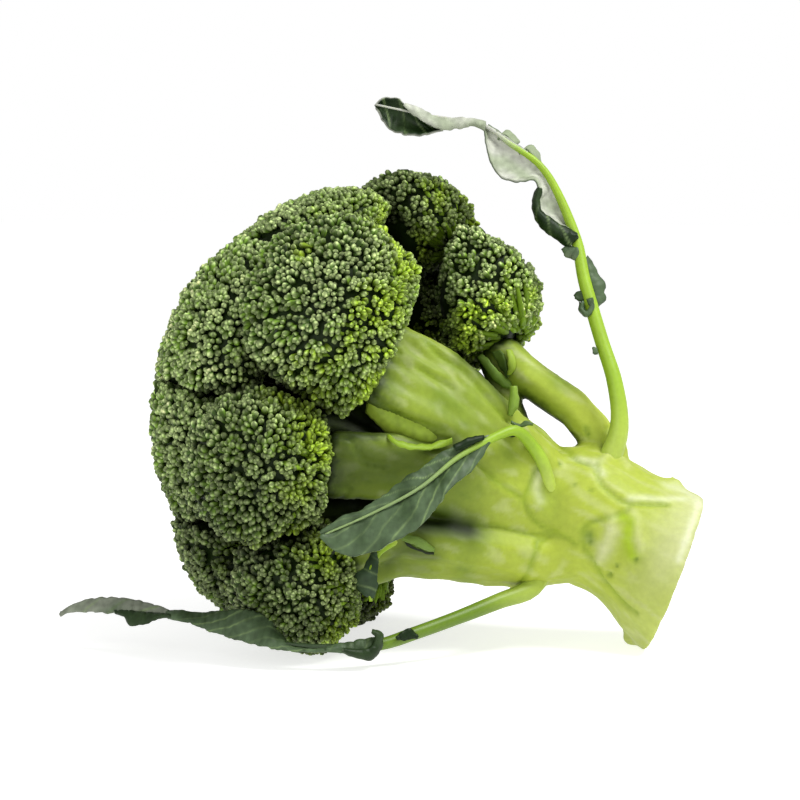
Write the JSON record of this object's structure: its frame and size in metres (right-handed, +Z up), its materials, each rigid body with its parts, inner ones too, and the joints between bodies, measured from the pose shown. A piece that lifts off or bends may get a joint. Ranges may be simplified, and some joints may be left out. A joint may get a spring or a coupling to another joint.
{
  "type": "broccoli head",
  "caption": "Head of broccoli lying on its side: a thick pale cut stalk that forks into branches, a domed crown of budded florets, and small leaves on long ribs.",
  "frame": {"origin": "the flat spot under the floret that the far side of the crown rests on, on the surface that the head lies on", "axes": "+Z up; +X from the crown towards the cut end of the stalk; -Y the side that shows"},
  "size_m": [0.1776, 0.1437, 0.1569],
  "materials": {
    "stalk": "smooth, slightly waxy pale green",
    "buds": "matt, bloomy blue-green buds",
    "leaf_rib": "smooth bright green",
    "leaf": "matt, waxy blue-green",
    "leaf_underside": "matt, pale grey-green with light veins"
  },
  "bodies": {
    "root": {"stalk": "stalk", "floret_01": "buds", "floret_02": "buds", "floret_03": "buds", "floret_04": "buds", "floret_05": "buds", "floret_06": "buds", "floret_07": "buds", "floret_08": "buds", "floret_09": "buds", "floret_10": "buds", "floret_11": "buds", "floret_12": "buds", "floret_13": "buds", "floret_14": "buds", "floret_15": "buds", "floret_16": "buds", "floret_17": "buds", "leaf_upper_rib": "leaf_rib", "leaf_upper_blade": "leaf_underside", "leaf_middle_rib": "leaf_rib", "leaf_middle_blade": "leaf", "leaf_lower_rib": "leaf_rib", "leaf_lower_blade": "leaf", "leaf_small_rib": "leaf_rib", "leaf_small_blade": "leaf"}
  },
  "joints": []
}
